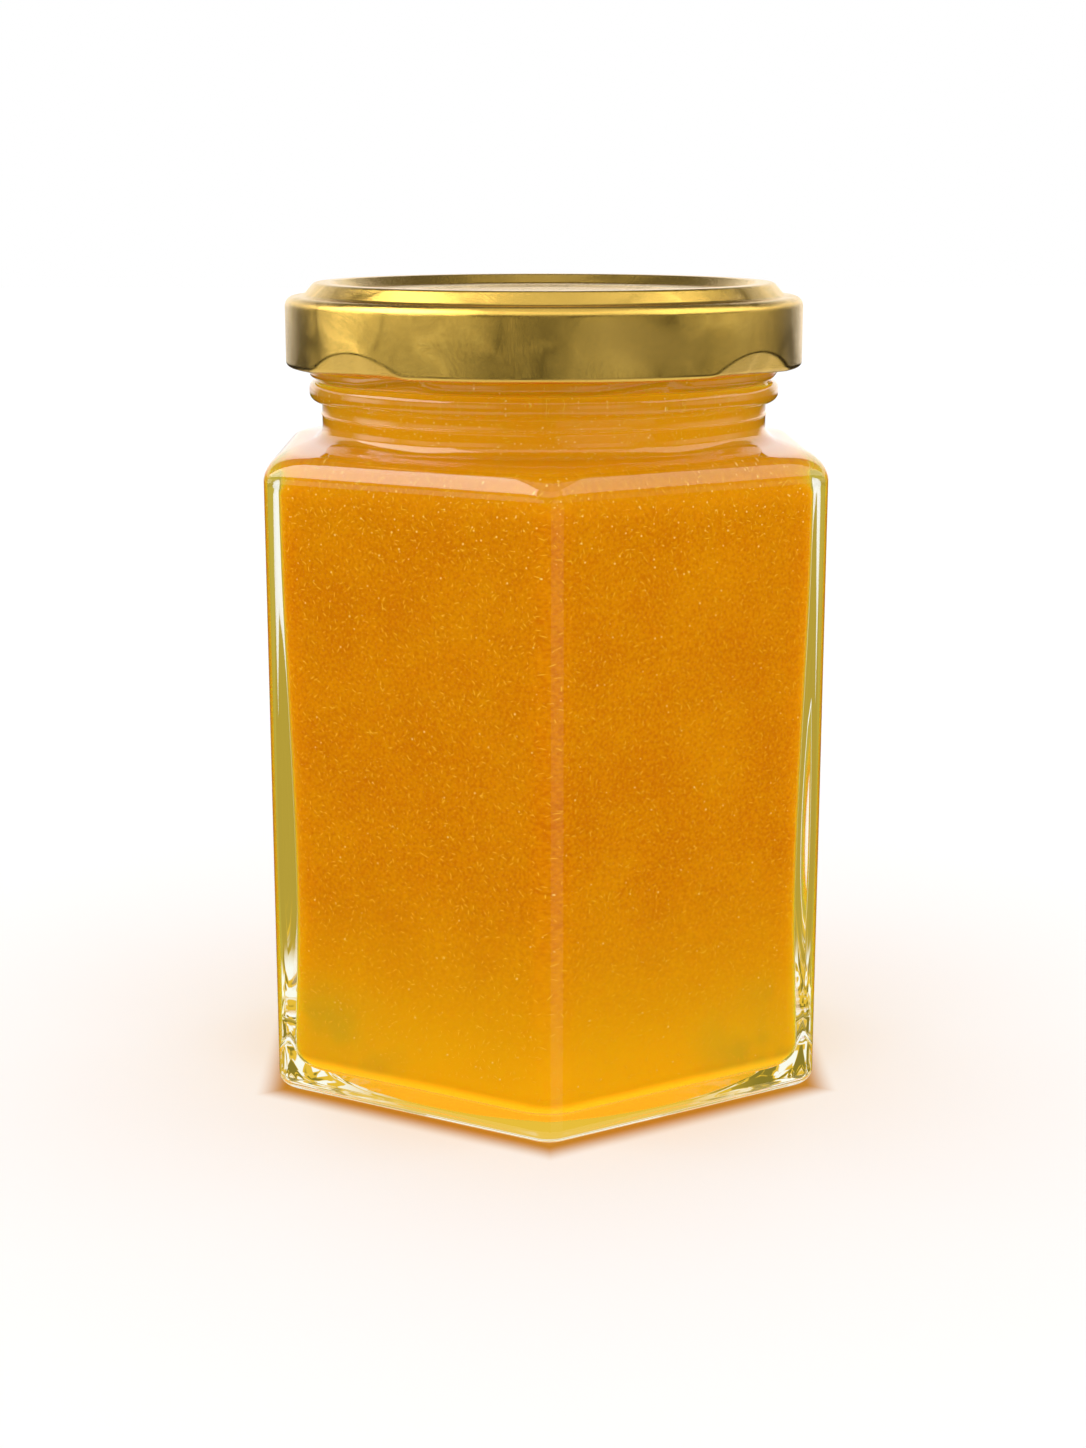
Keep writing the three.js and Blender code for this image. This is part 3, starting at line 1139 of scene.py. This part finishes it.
@dataclass
class Lid:
    """Twist-off lid: thin shell with a raised ring, a sunken panel, a rolled edge and lugs."""

    radius: float = 33.25 * MM
    bottom: float = 91.9 * MM
    skirt_top: float = 99.6 * MM
    crest: float = 28.7 * MM
    top: float = 102.4 * MM
    sheet: float = 0.5 * MM
    curl: float = 0.62 * MM
    upright: float = 4.5 * MM
    columns: int = 360
    lugs: Lugs = Lugs()

    def stations(self) -> list[Station]:
        """Profile from the middle of the underside, round the rolled edge, to the top middle."""
        radius, top, bottom = self.radius, self.top, self.bottom
        skirt_high = bottom + self.upright
        panel = [
            (x * MM, top - drop * MM, rounding * MM)
            for x, drop, rounding in (
                (0, 1.42, 0),
                (17.5, 1.42, 0.5),
                (18.9, 1.15, 0.5),
                (25.7, 1.15, 0.7),
                (27.5, 0, 0.8),
                (29.5, 0, 0.8),
                (30.9, 1.6, 0.7),
            )
        ]
        edge_round = [(radius, top - 1.75 * MM, 1.25 * MM), (radius, skirt_high, 0)]
        outer = rounded(panel + edge_round, 8)
        low = bottom + self.curl
        skirt = [(radius, z) for z in between(skirt_high, low, 26)]
        edge = arc((radius - self.curl, low), self.curl, 0, -215, 16)
        inside = radius - self.sheet
        inner = [
            (inside, bottom + 2.3 * self.curl),
            (inside, skirt_high),
            (inside, self.skirt_top - 0.2 * MM),
            (radius - 1.4 * MM, self.skirt_top + 0.4 * MM),
            (self.crest + 1.9 * MM, top - 2.2 * MM),
            (self.crest + 0.6 * MM, top - 0.7 * MM),
            (self.crest - 0.9 * MM, top - 0.7 * MM),
        ]
        inner += [
            (x * MM, top - drop * MM)
            for x, drop in ((25.9, 1.7), (18.9, 1.7), (17.5, 1.95), (0, 1.95))
        ]
        return [ring(x, z) for x, z in (outer + skirt + edge + inner)[::-1]]

    def _relief(self, build: TreeBuilder, angle: Number, radius: Number, height: Number) -> Number:
        """Presses the lugs in: arched facets that lean inwards towards the lower edge."""
        first, second, half, tall, slope, bottom, skirt = build.numbers(
            **asdict(self.lugs), bottom=self.bottom, skirt=self.radius
        )
        degrees = angle * (180 / math.pi) - first
        off = degrees.wrap(-90, 90).abs().at_most((degrees - second).wrap(-90, 90).abs())
        share = off / half
        arch = tall * (1 - share * share)
        depth = slope * (arch - (height - bottom)).soft_at_least(0, 0.1 * MM)
        low = (radius > skirt - 2 * MM) * (1 - (height > bottom + self.upright))
        return radius - depth * low

    def make(self, gold: Material) -> Object:
        """Returns the lid as one closed shell."""
        tree = TurningTree("Turned lid", self._relief)
        return tree.turn("fine_lid", self.stations(), self.columns, 0.0, gold)


# Studio


@dataclass(frozen=True)
class LightZone:
    """A bright or dim patch of the surroundings, seen only in reflections."""

    azimuth: float
    half_width: float
    low: float
    high: float
    strength: float
    softness: float = 4.0


@dataclass
class Studio:
    """Camera, white sweep and the soft light all round."""

    distance: float = 304.0 * MM
    aside: float = -0.12 * MM
    camera_height: float = 113.9 * MM
    camera_turn: float = -1.0
    camera_tilt: float = 77.04
    focal_pixels: float = 2321.9
    sensor: float = 36.0
    ambient: float = 1.09
    backdrop: float = 0.97
    under_light: float = 0.018
    level_light: float = 0.13
    level: float = -5.4
    sweep_half: float = 2.5
    zones: tuple[LightZone, ...] = (
        LightZone(-97, 14, -6.2, 9, 2.0, 9),
        LightZone(-50, 27, -6.2, 9, 0.85, 9),
        LightZone(27, 16, -6.2, 9, 0.75, 9),
        LightZone(91, 26, -6.2, 9, 0.68, 12),
        LightZone(-168, 20, -5.4, 9, 0.9, 8),
        LightZone(168, 18, -5.4, 9, 1.3, 8),
        LightZone(-84, 34, 19, 62, 5.0, 1.5),
        LightZone(84, 34, 19, 62, 1.9, 1.5),
        LightZone(180, 34, -2, 24, 1.2, 8),
        LightZone(180, 80, 11, 24, 1.2, 8),
        LightZone(0, 50, 30, 66, 1.2, 12),
        LightZone(0, 181, 64, 95, 0.75, 0.1),
        LightZone(31, 26, -30, -6.8, 0.32, 1),
        LightZone(0, 181, -95, -24, 0.85, 0.1),
    )

    def make(self) -> None:
        """Builds everything around the jar."""
        self._camera()
        self._sweep()
        self._world()

    def _camera(self) -> None:
        """Camera at the photograph's viewing angle."""
        data = bpy.data.cameras.new("Camera")
        data.sensor_width = self.sensor
        data.lens = self.focal_pixels / max(PHOTO_SIZE) * self.sensor
        data.clip_start = 0.01
        camera = added("Camera", data)
        turn = math.radians(self.camera_turn)
        camera.location = (
            self.distance * math.sin(turn) + self.aside,
            -self.distance * math.cos(turn),
            self.camera_height,
        )
        camera.rotation_euler = (math.radians(self.camera_tilt), 0, turn)
        bpy.context.scene.camera = camera

    def _sweep(self) -> None:
        """Floor, which reflections on the glass and the lid don't see."""
        mesh = bpy.data.meshes.new("sweep")
        half, drop = self.sweep_half, 0.1 * MM
        corners = [(-half, -half), (half, -half), (half, half), (-half, half)]
        mesh.from_pydata([(x, y, -drop) for x, y in corners], [], [(0, 1, 2, 3)])
        mesh.materials.append(PaperFinish().make())
        floor = added("sweep", mesh)
        floor.visible_glossy = False

    def _world(self) -> None:
        """White for the eye and for soft light, with zones for gloss and glass."""
        world = bpy.data.worlds.new("Studio")
        bpy.context.scene.world = world
        world.use_nodes = True
        tree = world.node_tree
        tree.nodes.clear()
        nodes = Nodes(tree)
        x, y, z = nodes.axes(nodes.node("ShaderNodeTexCoord").outputs["Generated"])
        azimuth = x.calculate("ARCTAN2", x, 0 - y) * (180 / math.pi)
        elevation = z.calculate("ARCSINE", z) * (180 / math.pi)
        total: Number | None = None
        for zone in self.zones:
            off = (azimuth - zone.azimuth).wrap(-180, 180).abs()
            edge = zone.softness
            across = off.fall(zone.half_width - edge, zone.half_width + edge)
            upward = elevation.rise(zone.low - 1, zone.low + 1)
            upward = upward * elevation.fall(zone.high - 2, zone.high + 2)
            light = across * upward * zone.strength
            total = light if total is None else total.at_least(light)
        level = elevation.rise(self.level - 1, self.level + 1)
        total = total.at_least(level.choose(self.level_light, self.under_light))
        path = nodes.node("ShaderNodeLightPath").outputs
        camera, through, glossy = (
            Number(tree, path[f"Is {kind} Ray"]) for kind in ("Camera", "Transmission", "Glossy")
        )
        plain = through.choose(self.backdrop, camera.choose(1.0, self.ambient))
        lights = [
            nodes.node("ShaderNodeBackground", {"Color": (1, 1, 1, 1), "Strength": strength})
            for strength in (plain, total)
        ]
        both = nodes.node(
            "ShaderNodeMixShader",
            {0: glossy * (1 - through), 1: lights[0].outputs[0], 2: lights[1].outputs[0]},
        )
        nodes.node("ShaderNodeOutputWorld", {"Surface": both.outputs[0]})


def main() -> None:
    """Builds the jar and its studio, and reports each piece."""
    logging.basicConfig(level=logging.INFO, format="%(name)s: %(message)s")
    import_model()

    glass = GlassFinish("Clear glass", 1.52).make()
    wetted = GlassFinish("Glass against honey", 1.06, (1.0, 1.0, 1.0), (0.5, 0.78, 1.0)).make()
    honey = HoneyFinish().make(mottle_tree())
    crystal = FleckFinish("Sugar crystals", (0.88, 0.47, 0.02)).make()
    bubble = FleckFinish("Tiny bubbles", (0.95, 0.62, 0.12)).make()
    gold = GoldFinish().make(swirl_tree())

    filling = Honey().make(honey)
    replacing = {
        "glass_jar": (GlassJar().make(glass, wetted), Slot.GLASS),
        "honey": (filling, Slot.HONEY),
        "lid": (Lid().make(gold), Slot.LID),
    }
    for node, (piece, _) in replacing.items():
        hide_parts(node)
    laying = FleckTree().tree
    crystals = Flecks("honey_crystals", 0.6, 0.5, 0.6 * MM, 0.11 * MM)
    bubbles = Flecks("honey_bubbles", 0.05, 7.0, 0.22 * MM, 0.22 * MM, seed=SEED + 5)
    laid = [
        (flecks.make(filling, laying, finish), Slot.HONEY)
        for flecks, finish in ((crystals, crystal), (bubbles, bubble))
    ]
    for piece, slot in (*replacing.values(), *laid):
        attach(piece, "root")
        log.info("%s: %d faces", piece.name, len(piece.data.polygons))

    Studio().make()
    view = bpy.context.scene.view_settings
    view.view_transform = "Standard"
    view.look = "None"


if __name__ == "__main__":
    main()
